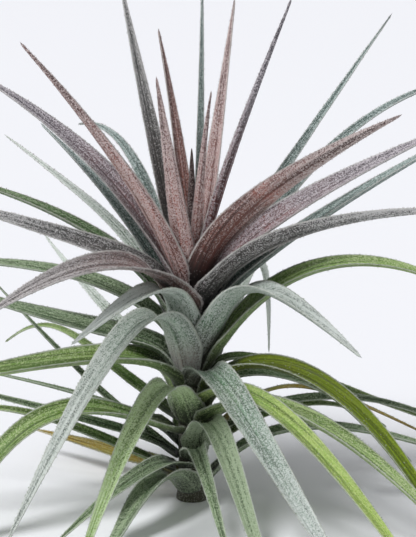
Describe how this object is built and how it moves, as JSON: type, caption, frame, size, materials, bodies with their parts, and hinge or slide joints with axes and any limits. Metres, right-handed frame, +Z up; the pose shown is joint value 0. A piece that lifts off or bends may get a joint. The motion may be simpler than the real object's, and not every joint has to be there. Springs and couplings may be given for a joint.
{
  "type": "air plant",
  "caption": "Stemmed air plant: a short upright stem wrapped by long, channelled, silver-scaled leaves that rise, arch over and taper to fine points.",
  "frame": {"origin": "centre of the flat foot of the stem, on the surface that the plant rests on", "axes": "+Z up along the stem, -Y towards the viewer of the front, +X to the viewer's right"},
  "size_m": [0.301, 0.2597, 0.2293],
  "materials": {
    "stem": "rough, fibrous",
    "heart_leaf": "matte, dense silver scales over brown-red",
    "crown_leaf": "matte, silver scales over mauve to grey-green",
    "middle_leaf": "matte, silver-green scales",
    "lower_leaf": "matte, fresh green with sparse scales",
    "back_leaf": "matte, green with silver scales"
  },
  "bodies": {
    "root": {"stem": "stem", "heart_spear": "heart_leaf", "heart_leaf_01": "heart_leaf", "heart_leaf_02": "heart_leaf", "heart_leaf_03": "heart_leaf", "heart_leaf_04": "heart_leaf", "heart_leaf_05": "heart_leaf", "heart_leaf_06": "heart_leaf", "heart_leaf_07": "heart_leaf", "crown_leaf_01": "crown_leaf", "crown_leaf_02": "crown_leaf", "crown_leaf_03": "crown_leaf", "crown_leaf_04": "crown_leaf", "crown_leaf_05": "crown_leaf", "crown_leaf_06": "crown_leaf", "crown_leaf_07": "crown_leaf", "crown_leaf_08": "crown_leaf", "crown_leaf_09": "crown_leaf", "crown_leaf_10": "crown_leaf", "crown_leaf_11": "crown_leaf", "crown_leaf_12": "crown_leaf", "crown_leaf_13": "crown_leaf", "crown_leaf_14": "crown_leaf", "middle_leaf_01": "middle_leaf", "middle_leaf_02": "middle_leaf", "middle_leaf_03": "middle_leaf", "middle_leaf_04": "middle_leaf", "middle_leaf_05": "middle_leaf", "middle_leaf_06": "middle_leaf", "middle_leaf_07": "middle_leaf", "middle_leaf_08": "middle_leaf", "middle_leaf_09": "middle_leaf", "middle_leaf_10": "middle_leaf", "middle_leaf_11": "middle_leaf", "lower_leaf_01": "lower_leaf", "lower_leaf_02": "lower_leaf", "lower_leaf_03": "lower_leaf", "lower_leaf_04": "lower_leaf", "lower_leaf_05": "lower_leaf", "lower_leaf_06": "lower_leaf", "lower_leaf_07": "lower_leaf", "lower_leaf_08": "lower_leaf", "lower_leaf_09": "lower_leaf", "lower_leaf_10": "lower_leaf", "lower_leaf_11": "lower_leaf", "lower_leaf_12": "lower_leaf", "lower_leaf_13": "lower_leaf", "lower_leaf_14": "lower_leaf", "lower_leaf_15": "lower_leaf", "lower_leaf_16": "lower_leaf", "lower_leaf_17": "lower_leaf", "lower_leaf_18": "lower_leaf", "lower_leaf_19": "lower_leaf", "lower_leaf_20": "lower_leaf", "back_leaf_01": "back_leaf", "back_leaf_02": "back_leaf", "back_leaf_03": "back_leaf", "back_leaf_04": "back_leaf", "back_leaf_05": "back_leaf", "back_leaf_06": "back_leaf"}
  },
  "joints": []
}
